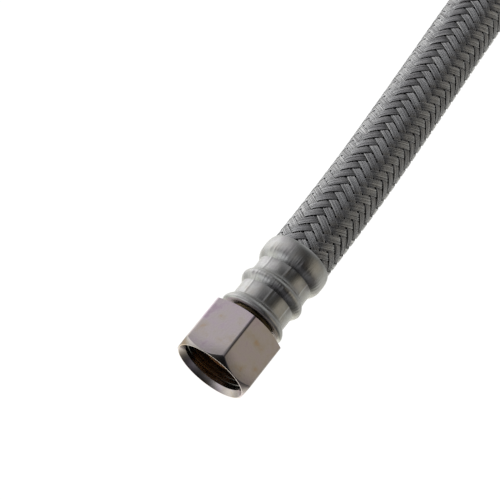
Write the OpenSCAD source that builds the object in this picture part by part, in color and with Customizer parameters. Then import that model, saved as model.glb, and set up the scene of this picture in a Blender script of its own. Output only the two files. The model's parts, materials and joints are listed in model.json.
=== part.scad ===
// Braided water supply line, in millimetres.
// A wire-braided hose carries the same fitting at each end: a swivelling coupling nut
// with a rubber cone washer inside it, on a barbed stem that a crimped ferrule holds
// in the hose.
// +X runs from the inlet nut along the hose and +Z is up. The origin is on the inlet
// nut's axis, where its full thread starts behind the countersunk mouth.

/* [Coupling nut] */
// Width across the flats
nut_flats = 15.6; // [15.5:0.05:16.4]
// Length from the start of full thread to the back face
nut_len = 10.6; // [10.5:0.05:10.8]
// Depth of the countersink in front of the thread
mouth_depth = 1.1; // [0.6:0.05:1.2]
// Thickness of the back wall that bears on the stem's flange
nut_back_wall = 1.7; // [1.5:0.05:1.7]
// Radius of the hole in the back wall
nut_back_hole_r = 5.1; // [5:0.05:5.3]
// Radius of the thread's crests
thread_crest_r = 6.65; // [6.57:0.01:6.69]
// Radius of the thread's roots
thread_root_r = 7.14; // [7:0.01:7.16]
// Distance from one turn of the thread to the next
thread_pitch = 1.058; // [1:0.001:1.1]
// Angle of the lowest corner, away from straight down
nut_turn = 17; // [0:0.5:30]

/* [Sealing washer] */
// Where the nose of the cone stands inside the nut
washer_nose_x = 2.2; // [2.15:0.05:2.6]
// Radius of the nose
washer_nose_r = 3.7; // [3.5:0.1:4]
// Radius of the washer's base
washer_r = 6.2; // [6:0.05:6.3]

/* [Stem] */
// Radius of the water passage
passage_r = 2.3; // [2:0.1:2.5]
// Front face of the flange, which the washer sits on
flange_x = 6.8; // [6.7:0.05:6.9]
// Thickness of the flange
flange_t = 1.3; // [1.1:0.05:1.3]
// Radius of the neck that the nut turns on
neck_r = 4.6; // [4.3:0.05:4.7]
// Radius over the crests of the barbs
barb_r = 4.2; // [4:0.05:4.3]
// Number of barbs
barb_count = 5; // [4:1:6]

/* [Friction ring] */
// Thickness of the ring between flange and nut
ring_t = 0.6; // [0.4:0.05:0.6]

/* [Ferrule] */
// Front face of the crimped ferrule
ferrule_x = 11.9; // [11.85:0.05:12]
// Wall thickness
ferrule_wall = 0.5; // [0.4:0.05:0.6]

/* [Hose] */
// Radius over the wire braid
hose_r = 6.55; // [6.3:0.05:6.6]
// Thickness of the wire braid
braid_t = 0.5; // [0.4:0.05:0.6]
// Radius of the hose's bore
bore_r = 4.1; // [4:0.05:4.3]
// Radius over the braid where a ferrule grips it
gripped_r = 5.45; // [5.4:0.05:5.5]

/* [Hidden] */
$fn = 96;

// Centre line of the hose, from the foot of one crimp to the foot of the other
route = [
    [14, 0, 0], [24, 0, 0], [30, 0, 0], [42, 0.2, -0.1], [54, 0.65, -0.3], [66, 1.4, -0.6],
    [80, 2.4, -1], [94, 3.45, -1.4], [108, 4.4, -1.8], [122, 5.35, -2], [136, 6.3, -2.2],
    [150, 7.25, -2.2], [164, 8.25, -2.2], [178, 9.3, -2.1], [192, 10.4, -1.9],
    [206, 11.6, -1.5], [220, 12.9, -1.1], [234, 14.25, -0.7], [246, 15.5, -0.4],
    [258, 16.85, -0.1], [273, 18.65, 0], [278, 19.25, 0], [288, 20.45, 0]
];
last = len(route) - 1;
sides = 12;
hose_end = route[last - 2];

// Heading of the hose where it enters the outlet ferrule
outlet_turn = atan2(route[last][1] - hose_end[1], route[last][0] - hose_end[0]);

// Stations along a fitting, measured from the start of full thread
land_len = 2.1;
thread_turns = 4;
undercut_x = land_len + thread_turns * thread_pitch;
undercut_r = thread_root_r + 0.06;
shoulder_x = nut_len - nut_back_wall;
spigot_x = 3.6;
spigot_r = 2.9;
flange_back_x = flange_x + flange_t;
ring_x = flange_back_x + 0.1;
groove_x = ferrule_x - 0.2;
groove_r = 4.2;
groove_len = 1.3;
collar_r = 4.9;
collar_len = 1;
barb_start_x = groove_x + groove_len + collar_len;
barb_root_r = barb_r - 0.6;
stem_end_x = 28.6;
barb_pitch = (stem_end_x - barb_start_x) / barb_count;
ferrule_end_x = 29.2;
lip_r = groove_r + 0.1;
lip_t = 1;

// Outside of the ferrule, as [place along the axis, radius]
ferrule_outline = [
    [ferrule_x, 6.7], [12.2, 7.1], [13.2, 7.1], [14.5, 6.05], [17.6, 6.05], [19.3, 7],
    [20.8, 6.25], [22.8, 6.1], [25.6, 7.2], [27.8, 7.2], [ferrule_end_x, 6.75]
];

// Lays a shape that was drawn up the Z axis along a fitting's own axis
module along_axis() {
    rotate([0, 90, 0]) children();
}

// Solid of revolution about the fitting's axis from [place, radius] points
module turned(outline) {
    along_axis() rotate_extrude() polygon([for (p = outline) [p[1], p[0]]]);
}

// Puts a fitting at the far end of the hose, facing the other way
module at_outlet() {
    translate(hose_end) rotate([0, 0, outlet_turn + 180]) translate([-ferrule_end_x, 0, 0]) children();
}

// Hexagonal nut with chamfered corners, a countersunk mouth and an internal thread
module nut() {
    corner_r = nut_flats / sqrt(3);
    front_chamfer = 1.25;
    back_chamfer = 0.5;
    color([0.78, 0.74, 0.68]) difference() {
        intersection() {
            along_axis() translate([0, 0, -mouth_depth]) rotate([0, 0, nut_turn])
                cylinder(h = nut_len + mouth_depth, r = corner_r, $fn = 6);
            turned([
                [-mouth_depth, 0], [-mouth_depth, nut_flats / 2 - 0.1],
                [-mouth_depth + front_chamfer, corner_r + 0.02],
                [nut_len - back_chamfer, corner_r + 0.02], [nut_len, nut_flats / 2], [nut_len, 0]
            ]);
        }
        nut_hollow();
    }
}

// Everything that is cut out of the nut
module nut_hollow() {
    mouth_r = nut_flats / 2 - 0.3;
    turns = [for (i = [0:thread_turns - 1]) each [
        [land_len + (i + 0.5) * thread_pitch, thread_root_r],
        [land_len + (i + 1) * thread_pitch, thread_crest_r]
    ]];
    turned(concat(
        [[-mouth_depth - 0.1, 0], [-mouth_depth - 0.1, mouth_r], [-mouth_depth, mouth_r],
         [0, thread_crest_r], [land_len, thread_crest_r]],
        turns,
        [[undercut_x, undercut_r], [shoulder_x, undercut_r], [shoulder_x, 0]]
    ));
    along_axis() cylinder(h = nut_len + 1, r = nut_back_hole_r);
}

// Rubber cone that seals against the seat of the fitting that the nut draws up to
module cone_washer() {
    rim_len = 1.6;
    nose_round = 0.3;
    color([0.62, 0.33, 0.16]) turned([
        [washer_nose_x, spigot_r + 0.05], [washer_nose_x, washer_nose_r - nose_round],
        [washer_nose_x + nose_round, washer_nose_r], [flange_x - rim_len, washer_r],
        [flange_x, washer_r], [flange_x, spigot_r + 0.05]
    ]);
}

// Thin ring that lets the nut turn on the back of the flange
module friction_ring() {
    color([0.92, 0.91, 0.86]) turned([
        [ring_x, neck_r + 0.25], [ring_x, washer_r + 0.2],
        [ring_x + ring_t, washer_r + 0.2], [ring_x + ring_t, neck_r + 0.25]
    ]);
}

// Brass tail: spigot for the washer, flange, neck, crimp groove and hose barbs
module stem() {
    barbs = [for (i = [0:barb_count - 1]) each [
        [barb_start_x + (i + 0.15) * barb_pitch, barb_root_r],
        [barb_start_x + (i + 0.2) * barb_pitch, barb_r],
        [barb_start_x + (i + 1) * barb_pitch, barb_root_r]
    ]];
    color([0.78, 0.62, 0.32]) turned(concat(
        [[spigot_x, passage_r], [spigot_x, spigot_r], [flange_x, spigot_r], [flange_x, washer_r],
         [flange_back_x, washer_r], [flange_back_x, neck_r], [groove_x, neck_r],
         [groove_x, groove_r], [groove_x + groove_len, groove_r],
         [groove_x + groove_len, collar_r], [barb_start_x, collar_r], [barb_start_x, barb_root_r]],
        barbs,
        [[stem_end_x, passage_r]]
    ));
}

// Stainless sleeve, crimped on to the hose, with a front lip in the stem's groove
module ferrule() {
    inner_face = [for (i = [len(ferrule_outline) - 1:-1:3])
        [ferrule_outline[i][0], ferrule_outline[i][1] - ferrule_wall]];
    back_of_lip = ferrule_x + lip_t;
    neck_inner_r = ferrule_outline[3][1] - ferrule_wall;
    color([0.72, 0.72, 0.71]) turned(concat(
        ferrule_outline, inner_face,
        [[back_of_lip, neck_inner_r], [back_of_lip, lip_r], [ferrule_x, lip_r]]
    ));
}

// Direction of the route at one of its points
function heading(i) =
    let (step = route[min(i + 1, last)] - route[max(i - 1, 0)]) step / norm(step);

// Level sideways direction at one of the route's points
function sideways(i) = let (s = cross([0, 0, 1], heading(i))) s / norm(s);

// Corners of the hose's cross-section at one of the route's points
function ring_at(i, r) =
    [for (k = [0:sides - 1])
        route[i] + r * (cos(360 * k / sides) * sideways(i)
            + sin(360 * k / sides) * cross(heading(i), sideways(i)))];

// Radius at one of the route's points: the first two and last two are inside a ferrule
function radius_at(i, free_r, held_r) = i < 2 || i > last - 2 ? held_r : free_r;

// Four-cornered faces between two rows of points, where reach is from one row to the next
function strip(first, reach, flip) =
    [for (k = [0:sides - 1]) let (n = (k + 1) % sides)
        flip ? [first + k, first + reach + k, first + reach + n, first + n]
             : [first + k, first + n, first + reach + n, first + reach + k]];

// Pipe swept along the route, with its outside and bore narrowed inside the ferrules
module swept_pipe(outer, outer_held, inner, inner_held) {
    count = (last + 1) * sides;
    skin = [for (i = [0:last]) each ring_at(i, radius_at(i, outer, outer_held))];
    lining = [for (i = [0:last]) each ring_at(i, radius_at(i, inner, inner_held))];
    faces = concat(
        [for (i = [0:last - 1]) each strip(i * sides, sides, true)],
        [for (i = [0:last - 1]) each strip(count + i * sides, sides, false)],
        strip(0, count, false),
        strip(last * sides, count, true)
    );
    polyhedron(points = concat(skin, lining), faces = faces, convexity = 6);
}

// Flexible tube that carries the water
module inner_tube() {
    color([0.86, 0.86, 0.82])
        swept_pipe(hose_r - braid_t, gripped_r - braid_t / 2, bore_r, bore_r);
}

// Sleeve of woven stainless wire over the tube
module braid_sleeve() {
    color([0.64, 0.64, 0.63])
        swept_pipe(hose_r, gripped_r, hose_r - braid_t, gripped_r - braid_t / 2);
}

nut();  // inlet_nut
cone_washer();  // inlet_cone_washer
friction_ring();  // inlet_friction_ring
stem();  // inlet_stem
ferrule();  // inlet_ferrule
inner_tube();
braid_sleeve();
at_outlet() nut();  // outlet_nut
at_outlet() cone_washer();  // outlet_cone_washer
at_outlet() friction_ring();  // outlet_friction_ring
at_outlet() stem();  // outlet_stem
at_outlet() ferrule();  // outlet_ferrule
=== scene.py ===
import bpy
import bmesh
import json
import math
import random
import numpy as np
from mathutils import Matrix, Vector


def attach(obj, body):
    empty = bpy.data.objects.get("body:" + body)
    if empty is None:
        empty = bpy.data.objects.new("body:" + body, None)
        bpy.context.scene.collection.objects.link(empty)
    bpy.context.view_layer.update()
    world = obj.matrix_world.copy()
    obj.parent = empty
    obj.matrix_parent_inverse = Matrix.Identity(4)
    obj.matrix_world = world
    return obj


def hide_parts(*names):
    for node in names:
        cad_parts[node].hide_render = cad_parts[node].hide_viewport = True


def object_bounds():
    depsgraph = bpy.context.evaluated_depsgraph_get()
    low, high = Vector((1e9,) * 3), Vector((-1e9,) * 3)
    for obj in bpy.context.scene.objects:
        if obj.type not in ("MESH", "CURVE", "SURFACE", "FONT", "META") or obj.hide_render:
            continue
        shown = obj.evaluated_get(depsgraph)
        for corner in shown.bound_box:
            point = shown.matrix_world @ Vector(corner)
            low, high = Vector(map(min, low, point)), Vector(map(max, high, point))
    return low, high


# Braided water supply line: a wire-braided hose with a swivelling nut on each end.
# Metres throughout; +X runs along the hose from the near nut, +Z is up.

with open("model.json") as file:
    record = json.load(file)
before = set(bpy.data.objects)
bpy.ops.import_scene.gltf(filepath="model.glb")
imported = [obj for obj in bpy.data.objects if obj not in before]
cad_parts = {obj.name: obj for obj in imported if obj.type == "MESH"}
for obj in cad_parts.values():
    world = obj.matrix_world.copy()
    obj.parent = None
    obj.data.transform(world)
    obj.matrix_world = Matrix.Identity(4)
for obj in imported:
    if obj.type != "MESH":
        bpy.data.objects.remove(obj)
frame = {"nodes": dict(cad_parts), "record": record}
cadLow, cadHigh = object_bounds()
bpy.context.scene.view_settings.view_transform = "Standard"
mm = 0.001
print("frame loaded")


camera = {
    "at": (-0.09961, -0.08039, 0.28166),
    "toward": (0.3885, 0.2795, -0.8780),
    "lens": 115.2,
    "sensor": 36,
    "near": 0.01,
    "far": 20,
}


def makeCamera():
    data = bpy.data.cameras.new("camera")
    data.lens = camera["lens"]
    data.sensor_width = camera["sensor"]
    data.clip_start = camera["near"]
    data.clip_end = camera["far"]
    cam = bpy.data.objects.new("camera", data)
    bpy.context.scene.collection.objects.link(cam)
    cam.location = camera["at"]
    cam.rotation_euler = Vector(camera["toward"]).to_track_quat("-Z", "Y").to_euler()
    bpy.context.scene.camera = cam


makeCamera()
print("camera set")


weldWithin = 1e-7


def makePiece(name, points, faces, material, sharpAbove=35):
    # one closed mesh, welded, smooth except over edges sharper than sharpAbove degrees
    mesh = bpy.data.meshes.new(name)
    mesh.from_pydata([tuple(p) for p in points], [], [tuple(f) for f in faces])
    work = bmesh.new()
    work.from_mesh(mesh)
    bmesh.ops.remove_doubles(work, verts=work.verts, dist=weldWithin)
    bmesh.ops.dissolve_degenerate(work, edges=work.edges, dist=weldWithin)
    bmesh.ops.recalc_face_normals(work, faces=work.faces)
    work.to_mesh(mesh)
    work.free()
    mesh.shade_smooth()
    mesh.set_sharp_from_angle(angle=math.radians(sharpAbove))
    piece = bpy.data.objects.new(name, mesh)
    bpy.context.scene.collection.objects.link(piece)
    mesh.materials.append(material)
    return piece


def closeRows(rows, columns):
    # quads between rows of points, row after row, the last joined to the first
    faces = []
    for r in range(rows):
        for c in range(columns):
            n = (c + 1) % columns
            nextRow = (r + 1) % rows
            faces.append((r * columns + c, r * columns + n,
                          nextRow * columns + n, nextRow * columns + c))
    return faces


def fittingPlaces():
    # a fitting is drawn once, in millimetres from the start of its thread
    ends = {m["name"]: m for m in frame["record"]["mounts"]}
    places = {}
    for end in ("inlet", "outlet"):
        mount = ends[end + "_thread"]
        along = -Vector(mount["axis"])
        side = Vector((0, 0, 1)).cross(along).normalized()
        places[end] = (Vector(mount["pos_m"]), along, side, along.cross(side))
    return places


places = fittingPlaces()


def atEnd(end, x, r, angle):
    # a point of a fitting: x along, r out from its axis, angle from the side towards up
    start, along, side, up = places[end]
    c, s = math.cos(angle) * r * mm, math.sin(angle) * r * mm
    return start + along * (x * mm) + side * c + up * s


def newMaterial(name):
    material = bpy.data.materials.new(name)
    material.use_nodes = True
    return material, material.node_tree, material.node_tree.nodes["Principled BSDF"]


def addNode(tree, kind, **values):
    # makes a node, sets its properties and unlinked inputs by name
    node = tree.nodes.new(kind)
    for key, value in values.items():
        if key in node.inputs:
            node.inputs[key].default_value = value
        else:
            setattr(node, key, value)
    return node


def stretched(tree, scale=(1, 1, 1)):
    # the object's coordinates, grown by a factor on each axis
    coords = addNode(tree, "ShaderNodeTexCoord")
    mapping = addNode(tree, "ShaderNodeMapping", Scale=scale)
    tree.links.new(coords.outputs["Object"], mapping.inputs["Vector"])
    return mapping.outputs["Vector"]


def grain(tree, vector, scale, detail=3, roughness=0.55):
    noise = addNode(tree, "ShaderNodeTexNoise", Scale=scale, Detail=detail, Roughness=roughness)
    tree.links.new(vector, noise.inputs["Vector"])
    return noise.outputs["Fac"]


def ramp(tree, factor, stops):
    node = addNode(tree, "ShaderNodeValToRGB")
    band = node.color_ramp
    while len(band.elements) < len(stops):
        band.elements.new(0.5)
    for element, (place, colour) in zip(band.elements, stops):
        element.position = place
        element.color = (*colour, 1)
    tree.links.new(factor, node.inputs["Fac"])
    return node.outputs["Color"]


def spread(tree, factor, low, high):
    # maps a factor on to low..high
    node = addNode(tree, "ShaderNodeMapRange", **{"To Min": low, "To Max": high})
    tree.links.new(factor, node.inputs["Value"])
    return node.outputs["Result"]


def bumpFrom(tree, bsdf, height, strength, distance):
    bump = addNode(tree, "ShaderNodeBump", Strength=strength, Distance=distance)
    tree.links.new(height, bump.inputs["Height"])
    tree.links.new(bump.outputs["Normal"], bsdf.inputs["Normal"])


plating = {
    "roughness": (0.15, 0.24),
    "patch": 260,
    "fine": 2600,
    "bump": (0.25, 0.00006),  # strength and depth in metres, here and below
    "tones": [
        (0.28, (0.54, 0.43, 0.50)), (0.40, (0.62, 0.54, 0.57)), (0.52, (0.62, 0.56, 0.54)),
        (0.60, (0.60, 0.53, 0.48)), (0.72, (0.60, 0.44, 0.30))],
}


def platedNutFinish():
    material, tree, bsdf = newMaterial("platedNut")
    bsdf.inputs["Metallic"].default_value = 1
    vector = stretched(tree)
    patches = grain(tree, vector, plating["patch"], 4, 0.6)
    colour = ramp(tree, patches, plating["tones"])
    tree.links.new(colour, bsdf.inputs["Base Color"])
    fine = grain(tree, vector, plating["fine"], 2)
    tree.links.new(spread(tree, patches, *plating["roughness"]), bsdf.inputs["Roughness"])
    bumpFrom(tree, bsdf, fine, *plating["bump"])
    return material


crimpSteel = {
    "roughness": (0.15, 0.32),
    "streak": (260, 5200, 5200),
    "cloud": 420,
    "wobble": 0.5,
    "bump": (0.4, 0.00012),
    "tones": [(0.3, (0.50, 0.48, 0.48)), (0.5, (0.58, 0.58, 0.56)), (0.7, (0.54, 0.52, 0.48))],
}


def ferruleFinish():
    material, tree, bsdf = newMaterial("ferruleSteel")
    bsdf.inputs["Metallic"].default_value = 1
    streaks = grain(tree, stretched(tree, crimpSteel["streak"]), 1, 3)
    clouds = grain(tree, stretched(tree), crimpSteel["cloud"], 3)
    colour = ramp(tree, clouds, crimpSteel["tones"])
    tree.links.new(colour, bsdf.inputs["Base Color"])
    tree.links.new(spread(tree, clouds, *crimpSteel["roughness"]), bsdf.inputs["Roughness"])
    # crimping leaves the skin a little wavy and drawn along the hose
    uneven = addNode(tree, "ShaderNodeMix", data_type="FLOAT", Factor=crimpSteel["wobble"])
    tree.links.new(streaks, uneven.inputs["A"])
    tree.links.new(clouds, uneven.inputs["B"])
    bumpFrom(tree, bsdf, uneven.outputs["Result"], *crimpSteel["bump"])
    return material


wireSteel = {
    "roughness": (0.16, 0.36),
    "cloud": 420,
    "blotch": 0.25,  # how much the clouds add to each wire's own tone
    "bump": (0.1, 0.00003),
    "tones": [(0.0, (0.36, 0.35, 0.35)), (0.5, (0.64, 0.64, 0.64)), (1.0, (0.88, 0.87, 0.85))],
}


def wireFinish():
    material, tree, bsdf = newMaterial("braidSteel")
    bsdf.inputs["Metallic"].default_value = 1
    clouds = grain(tree, stretched(tree), wireSteel["cloud"], 4)
    tone = addNode(tree, "ShaderNodeAttribute", attribute_name="tone").outputs["Fac"]
    mixed = addNode(tree, "ShaderNodeMath", operation="ADD")
    tree.links.new(tone, mixed.inputs[0])
    blotch = wireSteel["blotch"]
    tree.links.new(spread(tree, clouds, -blotch, blotch), mixed.inputs[1])
    colour = ramp(tree, mixed.outputs[0], wireSteel["tones"])
    tree.links.new(colour, bsdf.inputs["Base Color"])
    low, high = wireSteel["roughness"]
    tree.links.new(spread(tree, mixed.outputs[0], high, low), bsdf.inputs["Roughness"])
    bumpFrom(tree, bsdf, clouds, *wireSteel["bump"])
    return material


# painted shade: tones for the darker metal that stands in for the shade inside the fittings
paintedShadeSteel = {
    "roughness": (0.12, 0.22),
    "mottle": 700,
    "bump": (0.2, 0.00004),
    "tones": [(0.3, (0.30, 0.29, 0.27)), (0.7, (0.46, 0.44, 0.41))],
}


def paintedShadeFinish():
    # painted shade: a darker metal inside nuts and ferrules, standing in for the shade in their
    # hollows
    material, tree, bsdf = newMaterial("paintedShadeSteel")
    bsdf.inputs["Metallic"].default_value = 1
    mottle = grain(tree, stretched(tree), paintedShadeSteel["mottle"], 3)
    tree.links.new(ramp(tree, mottle, paintedShadeSteel["tones"]), bsdf.inputs["Base Color"])
    tree.links.new(spread(tree, mottle, *paintedShadeSteel["roughness"]), bsdf.inputs["Roughness"])
    bumpFrom(tree, bsdf, mottle, *paintedShadeSteel["bump"])
    return material


turnedBrass = {
    "roughness": (0.24, 0.4),
    "streak": (9000, 300, 300),
    "bump": (0.3, 0.00004),
    # painted shade: the brass tones are kept dark, standing in for the shade on the stem in the
    # gap behind the nut
    "tones": [(0.3, (0.28, 0.22, 0.11)), (0.7, (0.42, 0.34, 0.20))],
}


def brassFinish():
    material, tree, bsdf = newMaterial("stemBrass")
    bsdf.inputs["Metallic"].default_value = 1
    turned = grain(tree, stretched(tree, turnedBrass["streak"]), 1, 2)
    tree.links.new(ramp(tree, turned, turnedBrass["tones"]), bsdf.inputs["Base Color"])
    tree.links.new(spread(tree, turned, *turnedBrass["roughness"]), bsdf.inputs["Roughness"])
    bumpFrom(tree, bsdf, turned, *turnedBrass["bump"])
    return material


tubeRubber = {
    "roughness": 0.6,
    "glow": 0,
    "mottle": 900,
    "detail": 3,
    "bump": (0.3, 0.0001),
    "tones": [(0.3, (0.016, 0.016, 0.017)), (0.7, (0.035, 0.034, 0.033))],
}

washerRubber = {
    "roughness": 0.5,
    "glow": 0.1,  # a little light passes through the skin
    "mottle": 700,
    "detail": 4,
    "bump": (0.25, 0.0001),
    "tones": [(0.3, (0.36, 0.13, 0.03)), (0.7, (0.55, 0.22, 0.06))],
}

ringPlastic = {
    "roughness": 0.35,
    "glow": 0,
    "mottle": 800,
    "detail": 3,
    "bump": (0.2, 0.00008),
    "tones": [(0.3, (0.78, 0.76, 0.70)), (0.7, (0.86, 0.85, 0.80))],
}


def mottledFinish(name, look):
    # rubber or plastic in one colour with faint mottling
    material, tree, bsdf = newMaterial(name)
    bsdf.inputs["Roughness"].default_value = look["roughness"]
    bsdf.inputs["Subsurface Weight"].default_value = look["glow"]
    mottle = grain(tree, stretched(tree), look["mottle"], look["detail"])
    tree.links.new(ramp(tree, mottle, look["tones"]), bsdf.inputs["Base Color"])
    bumpFrom(tree, bsdf, mottle, *look["bump"])
    return material


finishes = {
    "plated_nut": platedNutFinish(),
    "ferrule_steel": ferruleFinish(),
    "braid_steel": wireFinish(),
    "tube_rubber": mottledFinish("tubeRubber", tubeRubber),
    "washer_rubber": mottledFinish("washerRubber", washerRubber),
    "ring_plastic": mottledFinish("ringPlastic", ringPlastic),
    "stem_brass": brassFinish(),
    "insideShade": paintedShadeFinish(),
}
print("materials made")


hose = {
    "route": [
        (0.014, 0, 0), (0.024, 0, 0), (0.030, 0, 0), (0.042, 0.0002, -0.0001),
        (0.054, 0.00065, -0.0003), (0.066, 0.0014, -0.0006), (0.080, 0.0024, -0.001),
        (0.094, 0.00345, -0.0014), (0.108, 0.0044, -0.0018), (0.122, 0.00535, -0.002),
        (0.136, 0.0063, -0.0022), (0.150, 0.00725, -0.0022), (0.164, 0.00825, -0.0022),
        (0.178, 0.0093, -0.0021), (0.192, 0.0104, -0.0019), (0.206, 0.0116, -0.0015),
        (0.220, 0.0129, -0.0011), (0.234, 0.01425, -0.0007), (0.246, 0.0155, -0.0004),
        (0.258, 0.01685, -0.0001), (0.273, 0.01865, 0), (0.278, 0.01925, 0),
        (0.288, 0.02045, 0)],
    "exit": (0.0292, 0, 0),
    "diameter": 0.0131,
    "tubeRadius": 0.00603,
    "boreRadius": 0.0041,
    "held": 0.0011,  # how much a ferrule narrows it
    "heldFrom": 0.0085,  # from each end, the narrowing starts to ease off
    "heldTo": 0.0120,
    "tubeSides": 48,
    "tubeStep": 0.002,
    "pointsBetween": 12,
}


def smoothLine(points, steps):
    # a curve through all the points
    p = [Vector(q) for q in points]
    p = [2 * p[0] - p[1], *p, 2 * p[-1] - p[-2]]
    line = []
    for i in range(1, len(p) - 2):
        for k in range(steps):
            t = k / steps
            line.append(0.5 * (2 * p[i] + (p[i + 1] - p[i - 1]) * t
                               + (2 * p[i - 1] - 5 * p[i] + 4 * p[i + 1] - p[i + 2]) * t ** 2
                               + (3 * p[i] - p[i - 1] - 3 * p[i + 1] + p[i + 2]) * t ** 3))
    line.append(p[-2])
    return np.array([tuple(q) for q in line])


centreLine = smoothLine(hose["route"], hose["pointsBetween"])
steps = np.linalg.norm(np.diff(centreLine, axis=0), axis=1)
distance = np.concatenate([[0], np.cumsum(steps)])
hoseLength = float(distance[-1])
heading = np.gradient(centreLine, distance, axis=0)
heading /= np.linalg.norm(heading, axis=1)[:, None]
sideways = np.cross([0, 0, 1], heading)
sideways /= np.linalg.norm(sideways, axis=1)[:, None]
upward = np.cross(heading, sideways)


def between(table, s):
    return np.stack([np.interp(s, distance, table[:, i]) for i in range(3)], axis=-1)


def easing(t):
    t = np.clip(t, 0, 1)
    return t * t * (3 - 2 * t)


def narrowing(s):
    # nought in the open, and hose["held"] where a ferrule grips
    fromEnd = np.minimum(s, hoseLength - s)
    return hose["held"] * (1 - easing((fromEnd - hose["heldFrom"])
                                      / (hose["heldTo"] - hose["heldFrom"])))


def onHose(s, angle, radius):
    # points at distance s along the hose, angle from its side towards up
    centre, side, up = between(centreLine, s), between(sideways, s), between(upward, s)
    r = np.asarray(radius)[..., None]
    return centre + r * (np.cos(angle)[..., None] * side + np.sin(angle)[..., None] * up)


def makeTube():
    rows = int(hoseLength / hose["tubeStep"]) + 1
    sides = hose["tubeSides"]
    s = np.linspace(0, hoseLength, rows)
    turn = np.arange(sides) * math.tau / sides
    points = []
    for out, order in (("tubeRadius", s), ("boreRadius", s[::-1])):
        for place in order:
            squeeze = narrowing(place) if out == "tubeRadius" else 0
            here = np.full(sides, place)
            points.extend(onHose(here, turn, np.full(sides, hose[out] - squeeze)).tolist())
    tube = makePiece("innerTube", points, closeRows(2 * rows, sides), finishes["tube_rubber"])
    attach(tube, "line")
    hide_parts("inner_tube")
    return tube


braid = {
    "carriers": 12,  # strands each way
    "wires": 7,  # in a strand
    "wireRadius": 0.000106,
    "over": 0.00644,  # wire's centre from the hose's, on top of a crossing
    "under": 0.0062,
    "bow": 0.00004,  # how much a long float stands out
    "pitch": 0.0265,  # along the hose for one turn of a strand
    "columns": 4.3,  # degrees, where the first column of crossings lies
    "rows": 0.0,  # metres, where the first row of crossings lies
    "sides": 5,
    "from": 0.008,  # metres inside each end, where the wires stop
    # degrees past a change of level, and how far up the wire is by then
    "climb": [(-6, 0), (-1.6, 0.34), (1.6, 0.66), (6, 1), (21, 1), (39, 1)],
    "bowFrom": 10,  # degrees past a change, where a float starts to bow
    "toneEach": 0.22,  # from wire to wire
    "toneAlong": 0.16,  # along one wire
    "toneEvery": 4,  # points between random values, here and below
    "lateral": 0.34,  # degrees of wander within a strand
    "lateralEvery": 5,
    "radial": 0.000012,
    "radialEvery": 3,
    "seed": 11,
}


def drift(rng, count, every):
    # a slow random change over a count of points
    knots = rng.normal(0, 1, count // every + 3)
    return np.interp(np.arange(count) / every, np.arange(len(knots)), knots)


def strandWire(strand, wire, way, rng):
    # one wire of one strand: way is 1 or -1, the sense in which it winds
    b = braid
    cell = 360 / b["carriers"]
    spacing = math.degrees(2 * b["wireRadius"] / b["over"]
                           / math.cos(math.atan(math.tau * b["over"] / b["pitch"])))
    own = b["columns"] + cell * strand + (wire - (b["wires"] - 1) / 2) * spacing
    advance = 720 / b["pitch"]  # degrees of crossing phase for each metre
    first = b["from"]
    last = hoseLength - b["from"]
    # phase is what the strands of the other way hold constant; it grows with way
    startPhase = own + way * advance * (first - b["rows"])
    endPhase = own + way * advance * (last - b["rows"])
    low, high = sorted((startPhase, endPhase))
    # a strand floats over two others and dives under two: changes come every 2 cells
    base = b["columns"] + cell * ((-strand) % 4 - 0.5)
    if way < 0:
        base += 2 * cell
    changes = np.arange(math.floor((low - base) / (2 * cell)) - 1,
                        math.ceil((high - base) / (2 * cell)) + 2)
    offsets, levels = np.array(b["climb"]).T
    phase = (base + changes[:, None] * 2 * cell + offsets[None, :])
    rising = (changes % 2 == 0)[:, None]
    level = np.where(rising, levels[None, :], 1 - levels[None, :])
    bow = np.where(rising & (offsets[None, :] > b["bowFrom"]), b["bow"], 0.0)
    phase, level, bow = phase.ravel(), level.ravel(), bow.ravel()
    keep = (phase > low) & (phase < high)
    phase, level, bow = phase[keep], level[keep], bow[keep]
    if way < 0:
        phase, level, bow = phase[::-1], level[::-1], bow[::-1]
    s = b["rows"] + way * (phase - own) / advance
    count = len(s)
    wander = drift(rng, count, b["lateralEvery"])
    lift = drift(rng, count, b["radialEvery"])
    tone = drift(rng, count, b["toneEvery"])
    tone = 0.5 + b["toneEach"] * rng.uniform(-1, 1) + b["toneAlong"] * tone
    angle = np.radians((own + phase) / 2 + wander * b["lateral"])
    radius = (b["under"] + (b["over"] - b["under"]) * level + bow
              + lift * b["radial"] - narrowing(s))
    return onHose(s, angle, radius), np.clip(tone, 0, 1)


def wireTube(line, radius, sides, first):
    # a capped tube round a line of points; first is the number of its first point
    ahead = np.gradient(line, axis=0)
    ahead /= np.linalg.norm(ahead, axis=1)[:, None]
    notAlong = [1.0, 0.02, 0.01]  # no wire runs this way
    side = np.cross(ahead, notAlong)
    side /= np.linalg.norm(side, axis=1)[:, None]
    other = np.cross(ahead, side)
    turn = np.arange(sides) * math.tau / sides
    ring = (line[:, None, :] + radius * (np.cos(turn)[None, :, None] * side[:, None, :]
                                         + np.sin(turn)[None, :, None] * other[:, None, :]))
    points = ring.reshape(-1, 3)
    rows = len(line)
    r, c = np.meshgrid(np.arange(rows - 1), np.arange(sides), indexing="ij")
    n = (c + 1) % sides
    quads = np.stack([r * sides + c, r * sides + n, (r + 1) * sides + n, (r + 1) * sides + c], -1)
    quads = (quads.reshape(-1, 4) + first).tolist()
    caps = [[first + k for k in range(sides)][::-1],
            [first + (rows - 1) * sides + k for k in range(sides)]]
    return points, quads + caps


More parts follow.
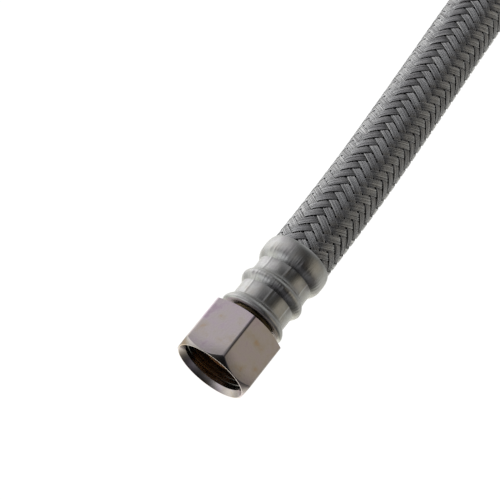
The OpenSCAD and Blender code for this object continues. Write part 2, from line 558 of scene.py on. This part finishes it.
def makeBraid():
    rng = np.random.RandomState(braid["seed"])
    made = []
    for way, label in ((1, "Left"), (-1, "Right")):
        for pair in range(braid["carriers"] // 2):
            points, faces, tones = [], [], []
            for strand in (2 * pair, 2 * pair + 1):
                for wire in range(braid["wires"]):
                    line, tone = strandWire(strand, wire, way, rng)
                    tube, skin = wireTube(line, braid["wireRadius"], braid["sides"], len(points))
                    points.extend(tube.tolist())
                    faces.extend(skin)
                    tones.extend(np.repeat(tone, braid["sides"]).tolist())
            name = f"braid{label}{pair + 1:02d}"
            mesh = bpy.data.meshes.new(name)
            mesh.from_pydata(points, [], faces)
            mesh.attributes.new("tone", "FLOAT", "POINT").data.foreach_set("value", tones)
            mesh.shade_smooth()
            mesh.materials.append(finishes["braid_steel"])
            piece = bpy.data.objects.new(name, mesh)
            bpy.context.scene.collection.objects.link(piece)
            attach(piece, "line")
            made.append(piece)
    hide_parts("braid_sleeve")
    return made


tube = makeTube()
print("tube swept, length", round(hoseLength, 4))
strands = makeBraid()
print("braid woven from", len(strands), "pieces")


ferrule = {
    # outside and inside faces, as place along the fitting and radius
    "outside": [
        (11.90, 4.35), (11.90, 5.45), (11.93, 5.95), (12.00, 6.36), (12.12, 6.70), (12.28, 6.92),
        (12.46, 7.04), (12.7, 7.10), (12.95, 7.07), (13.35, 6.92), (13.8, 6.62), (14.2, 6.28),
        (14.38, 6.12), (14.5, 6.07), (15.2, 6.03), (16.5, 6.02), (17.6, 6.05),
        (17.85, 6.10), (18.1, 6.34), (18.4, 6.60), (18.75, 6.82), (19.1, 6.95),
        (19.45, 7.00), (19.8, 6.94), (20.15, 6.76), (20.5, 6.52), (20.75, 6.33),
        (20.88, 6.25), (21.6, 6.14), (22.6, 6.07), (23.6, 6.12), (23.92, 6.20),
        (24.15, 6.42), (24.5, 6.68), (24.95, 6.92), (25.4, 7.07), (25.9, 7.16),
        (26.6, 7.20), (27.4, 7.20), (28.1, 7.14), (28.6, 7.03), (28.95, 6.90),
        (29.15, 6.78), (29.2, 6.68)],
    "inside": [
        (29.2, 6.62), (28.4, 6.68), (25.6, 6.7), (23.4, 5.62), (20.9, 5.72), (19.4, 6.44),
        (17.9, 5.56), (12.95, 5.55), (12.9, 5.5), (12.9, 4.35)],
    "columns": 360,
    "jaws": 8,
    "jawTurn": 13.5,  # degrees from the side to the first seam
    "seamHeight": 0.09,
    "seamWidth": 2.4,  # degrees
    "jawDip": 0.5,  # depth of a jaw's print, as a share of the seam
    "waists": [(16.2, 2.0), (22.4, 1.8)],  # place and half length of each squeeze
    "shoulders": [(25.3, 0.9, 1), (19.0, 0.7, 1), (13.4, 0.6, 0.5)],  # and how rough
    "streak": 0.035,
    "streaks": 180,
    "plainFront": 5,  # rows of the outside without marks
    "plainBack": 3,
    "insideShade": [(11, 12.6, 5.4), (12.6, 30, 5.7)],  # from, to, and nearer the axis than; faces here get painted shade
    "seed": 5,
}


def crimpMark(x, degrees, table):
    # what the crimping jaws add to the radius at one point
    f = ferrule
    jaw = 360 / f["jaws"]
    off = (degrees - f["jawTurn"] + jaw / 2) % jaw - jaw / 2
    squeezed = sum(math.exp(-((x - place) / half) ** 4) for place, half in f["waists"])
    seam = f["seamHeight"] * math.exp(-(off / f["seamWidth"]) ** 2) * squeezed
    seam -= f["jawDip"] * f["seamHeight"] * math.cos(math.tau * off / jaw) * squeezed
    shoulder = sum(share * math.exp(-((x - place) / half) ** 2)
                   for place, half, share in f["shoulders"])
    place = degrees / 360 * len(table)
    k = int(place)
    rough = table[k % len(table)] * (k + 1 - place) + table[(k + 1) % len(table)] * (place - k)
    return seam + f["streak"] * shoulder * rough


def makeFerrule(end):
    rng = random.Random(ferrule["seed"] + len(end))
    table = [rng.uniform(-1, 1) for _ in range(ferrule["streaks"])]
    outline = ferrule["outside"] + ferrule["inside"]
    columns = ferrule["columns"]
    lastMarked = len(ferrule["outside"]) - ferrule["plainBack"]
    points = []
    for number, (x, r) in enumerate(outline):
        marked = ferrule["plainFront"] <= number < lastMarked
        for c in range(columns):
            angle = c / columns * math.tau
            mark = crimpMark(x, math.degrees(angle), table) if marked else 0
            points.append(atEnd(end, x, r + mark, angle))
    piece = makePiece(end + "Ferrule", points, closeRows(len(outline), columns),
                      finishes["ferrule_steel"], sharpAbove=28)
    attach(piece, "line")
    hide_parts(end + "_ferrule")
    return piece


ferrules = [makeFerrule("inlet"), makeFerrule("outlet")]
print("ferrules crimped")


nut = {
    "flats": 15.6,  # millimetres, as everywhere in a fitting
    "face": -1.1,  # front of the nut
    "rimOut": 7.7,
    "rimIn": 7.5,
    "chamfer": 1.25,
    "back": 10.6,
    "backChamfer": 0.5,
    "leastChamfer": 0.04,  # share of the chamfer left in the middle of a side
    "edge": 0.09,  # how far the chamfer's edge is rounded
    "soft": 0.03,  # the same for the rim
    "tiny": 0.02,
    "holeChamfer": 0.15,
    "cornerRound": 0.75,
    "turn": 17,  # degrees that the lowest corner is off straight down
    "crest": 6.65,
    "root": 7.12,
    "pitch": 1.058,
    "profile": [(0, "crest"), (0.25, "crest"), (0.56, "root"), (0.69, "root")],
    "threadFrom": 0.05,
    "turns": 6,
    "runOut": 0.3,
    "undercut": 7.2,
    "shoulder": 8.9,
    "hole": 5.1,
    "insideShade": [(0.06, 8.95, 7.25)],  # from, to, and nearer the axis than; faces here get painted shade
}


def cornerColumns():
    # angles round the nut from a corner, close together where the corner is rounded
    half = [0, 0.4, 0.8, 1.2, 1.6, 2, 2.4, 3, 5, 8, 12, 16, 21, 26, 30]
    ring = [-a for a in half[-1:0:-1]][1:] + half
    return [60 * k + a for k in range(6) for a in ring]


def hexRadius(degrees):
    # distance from the axis to the side of the hexagon, corners rounded
    flat, rounding = nut["flats"] / 2, nut["cornerRound"]
    off = math.radians((degrees + 30) % 60 - 30)
    centre = (flat - rounding) / math.cos(math.radians(30))
    tangent = math.atan2(rounding * 0.5, centre + rounding * math.cos(math.radians(30)))
    if abs(off) < tangent:
        return centre * math.cos(off) + math.sqrt(rounding ** 2 - (centre * math.sin(off)) ** 2)
    return flat / math.cos(math.radians(30) - abs(off))


def nutSection(degrees):
    # points down one side of the nut, from the mouth out and back in, as (x, r) pairs
    n = nut
    r = hexRadius(degrees)
    corner = n["flats"] / math.sqrt(3)
    lift = (r - n["rimOut"]) / (corner - n["rimOut"])
    front = n["face"] + n["chamfer"] * max(lift, n["leastChamfer"])
    rear = n["back"] - n["backChamfer"] * max(lift, n["leastChamfer"])
    section = [(n["face"], n["rimIn"] + n["soft"]), (n["face"], n["rimOut"] - n["soft"]),
               (n["face"] + n["tiny"], n["rimOut"])]
    soft = n["edge"] * min(1, 4 * lift)  # the chamfer's edge, slightly rounded
    slope = (r - n["rimOut"]) / (front - n["face"])
    section += [(front - soft, r - soft * slope), (front, r - 0.3 * soft), (front + soft, r)]
    section += [(front + (rear - front) * t, r) for t in (0.25, 0.5, 0.75)]
    section += [(rear, r), (n["back"] - n["tiny"], min(r, n["rimOut"])),
                (n["back"], n["rimOut"] - 0.05),
                (n["back"], n["hole"] + n["holeChamfer"]),
                (n["back"] - n["holeChamfer"], n["hole"]),
                (n["shoulder"], n["hole"]), (n["shoulder"], n["undercut"])]
    threadEnd = n["threadFrom"] + n["turns"] * n["pitch"]
    section += [(threadEnd + n["runOut"], n["undercut"])]
    thread = []
    for turn in range(n["turns"] + 1):
        for phase, height in n["profile"]:
            x = n["threadFrom"] + (turn + phase - degrees / 360) * n["pitch"]
            inside = n["threadFrom"] < x < threadEnd
            limit = n["crest"] if x <= n["threadFrom"] else n["undercut"]
            place = min(max(x, n["threadFrom"]), threadEnd)
            thread.append((place, n[height] if inside else limit))
    section += thread[::-1]
    section += [(0, n["crest"] + n["tiny"]), (n["face"] + n["soft"], n["rimIn"])]
    return section


def makeNut(end):
    angles = [a % 360 for a in cornerColumns()]
    angles.sort()
    columns = [nutSection(a) for a in angles]
    rows = len(columns[0])
    points, faces = [], []
    for angle, section in zip(angles, columns):
        turn = math.radians(angle - 90 + nut["turn"])
        points.extend(atEnd(end, x, r, turn) for x, r in section)
    threadRows = len(nut["profile"]) * (nut["turns"] + 1)
    firstThread = rows - 2 - threadRows
    for c in range(len(columns)):
        n = (c + 1) % len(columns)
        for k in range(rows):
            k2 = (k + 1) % rows
            here = [c * rows + k, c * rows + k2]
            if n:
                there = [n * rows + k2, n * rows + k]
            else:
                # where the helix meets itself, it is one turn on
                there = [n * rows + turnOn(k2, firstThread, threadRows),
                         n * rows + turnOn(k, firstThread, threadRows)]
            faces.append(here + there)
    piece = makePiece(end + "Nut", points, cleaned(faces), finishes["plated_nut"],
                      sharpAbove=24)
    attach(piece, end + "_swivel")
    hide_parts(end + "_nut")
    return piece


def turnOn(row, first, count):
    # thread rows run backwards, so one turn nearer the mouth comes later
    if not first <= row < first + count:
        return row
    return min(row + len(nut["profile"]), first + count - 1)


def cleaned(faces):
    # drops repeated corners, and faces that have shrunk to a line
    result = []
    for face in faces:
        kept = list(dict.fromkeys(face))
        if len(kept) > 2:
            result.append(kept)
    return result


def paintShadeInside(piece, end, bands):
    # faces of a fitting within one of the bands take the darker metal, painted shade for its
    # hollows
    start, along = places[end][:2]
    piece.data.materials.append(finishes["insideShade"])
    for face in piece.data.polygons:
        away = face.center - start
        x = away.dot(along)
        r = (away - along * x).length
        if any(low < x / mm < high and r < radius * mm for low, high, radius in bands):
            face.material_index = 1


nuts = [makeNut("inlet"), makeNut("outlet")]
# the hollows of nuts and ferrules get painted shade
for k, end in enumerate(("inlet", "outlet")):
    paintShadeInside(nuts[k], end, nut["insideShade"])
    paintShadeInside(ferrules[k], end, ferrule["insideShade"])
print("nuts made")


washer = {
    "outline": [
        (2.20, 3.02), (2.20, 3.42), (2.26, 3.58), (2.40, 3.68), (2.62, 3.80), (3.6, 4.66),
        (4.9, 5.82), (5.1, 6.02), (5.3, 6.14), (5.55, 6.2), (6.6, 6.2), (6.76, 6.14),
        (6.8, 6.0), (6.8, 2.98), (4.5, 2.95), (2.4, 2.95)],
    "columns": 128,
}


def makeWasher(end):
    columns = washer["columns"]
    points = [atEnd(end, x, r, c / columns * math.tau)
              for x, r in washer["outline"] for c in range(columns)]
    piece = makePiece(end + "ConeWasher", points, closeRows(len(washer["outline"]), columns),
                      finishes["washer_rubber"])
    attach(piece, "line")
    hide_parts(end + "_cone_washer")
    return piece


washers = [makeWasher("inlet"), makeWasher("outlet")]


def dressNode(name, slot):
    # a CAD part whose shape is right keeps it and takes a finish
    node = frame["nodes"][name]
    node.data.materials.clear()
    node.data.materials.append(finishes[slot])
    return node


for end in ("inlet", "outlet"):
    dressNode(end + "_stem", "stem_brass")
    dressNode(end + "_friction_ring", "ring_plastic")
print("washers, rings and stems dressed")


studio = {
    "floorGap": 0.0002,
    "floorSize": 3.0,
    "floorGlow": 1.0,
    "floorShade": 0.2,
    "floorRoughness": 0.9,
    # soft panels all round, as heading from +X towards +Y, height, softness and colour
    "panels": {
        "left": (60, 40, 12, (0.57, 0.56, 0.58)),
        "leftLow": (68, -5, 9, (1.15, 1.15, 1.18)),
        "leftUnder": (50, -50, 6, (0.8, 0.8, 0.78)),
        "under": (180, -82, 7, (0.8, 0.78, 0.7)),
        "right": (294, 12, 12, (0.37, 0.34, 0.29)),
        "rightUnder": (300, -40, 7, (0.5, 0.5, 0.48)),
        "ahead": (0, 5, 7, (0.45, 0.46, 0.47)),
        "mouthLeft": (129, 40, 14, (0.75, 0.76, 0.8)),
        "mouthLeftLow": (119, -2, 10, (0.95, 0.97, 0.93)),
        "mouthUnder": (150, -60, 9, (0.7, 0.7, 0.62)),
        "mouthRight": (240, 10, 14, (0.15, 0.15, 0.16)),
        "above": (0, 88, 14, (0.26, 0.26, 0.27)),
        "behind": (205, 52, 18, (0.12, 0.12, 0.13)),
    },
}


def makeFloor():
    half = studio["floorSize"] / 2
    z = cadLow.z - studio["floorGap"]
    mesh = bpy.data.meshes.new("floor")
    mesh.from_pydata([(-half, -half, z), (half, -half, z), (half, half, z), (-half, half, z)],
                     [], [(0, 1, 2, 3)])
    floor = bpy.data.objects.new("floor", mesh)
    bpy.context.scene.collection.objects.link(floor)
    material, tree, bsdf = newMaterial("paleFloor")
    bsdf.inputs["Base Color"].default_value = (studio["floorShade"],) * 3 + (1,)
    bsdf.inputs["Roughness"].default_value = studio["floorRoughness"]
    bsdf.inputs["Emission Color"].default_value = (1, 1, 1, 1)
    bsdf.inputs["Emission Strength"].default_value = studio["floorGlow"]
    mesh.materials.append(material)
    # the metal mirrors the panels and not the floor, which lets their light through
    floor.visible_glossy = False
    floor.visible_diffuse = False
    floor.visible_shadow = False


def addPanel(tree, direction, heading, height, softness, colour):
    # light that fades smoothly away from one direction
    h, e = math.radians(heading), math.radians(height)
    towards = (math.cos(e) * math.cos(h), math.cos(e) * math.sin(h), math.sin(e))
    facing = addNode(tree, "ShaderNodeVectorMath", operation="DOT_PRODUCT")
    facing.inputs[1].default_value = towards
    tree.links.new(direction, facing.inputs[0])
    fall = addNode(tree, "ShaderNodeMath", operation="MULTIPLY_ADD")
    fall.inputs[1].default_value = softness
    fall.inputs[2].default_value = -softness
    tree.links.new(facing.outputs["Value"], fall.inputs[0])
    glow = addNode(tree, "ShaderNodeMath", operation="EXPONENT")
    tree.links.new(fall.outputs[0], glow.inputs[0])
    tint = addNode(tree, "ShaderNodeVectorMath", operation="SCALE")
    tint.inputs[0].default_value = colour
    tree.links.new(glow.outputs[0], tint.inputs["Scale"])
    return tint.outputs[0]


def lightStudio():
    world = bpy.data.worlds.new("studio")
    world.use_nodes = True
    tree = world.node_tree
    background = tree.nodes["Background"]
    direction = addNode(tree, "ShaderNodeTexCoord").outputs["Generated"]
    total = None
    for panel in studio["panels"].values():
        light = addPanel(tree, direction, *panel)
        if total is None:
            total = light
            continue
        both = addNode(tree, "ShaderNodeVectorMath", operation="ADD")
        tree.links.new(total, both.inputs[0])
        tree.links.new(light, both.inputs[1])
        total = both.outputs[0]
    tree.links.new(total, background.inputs["Color"])
    bpy.context.scene.world = world


makeFloor()
lightStudio()
print("floor and lights set")
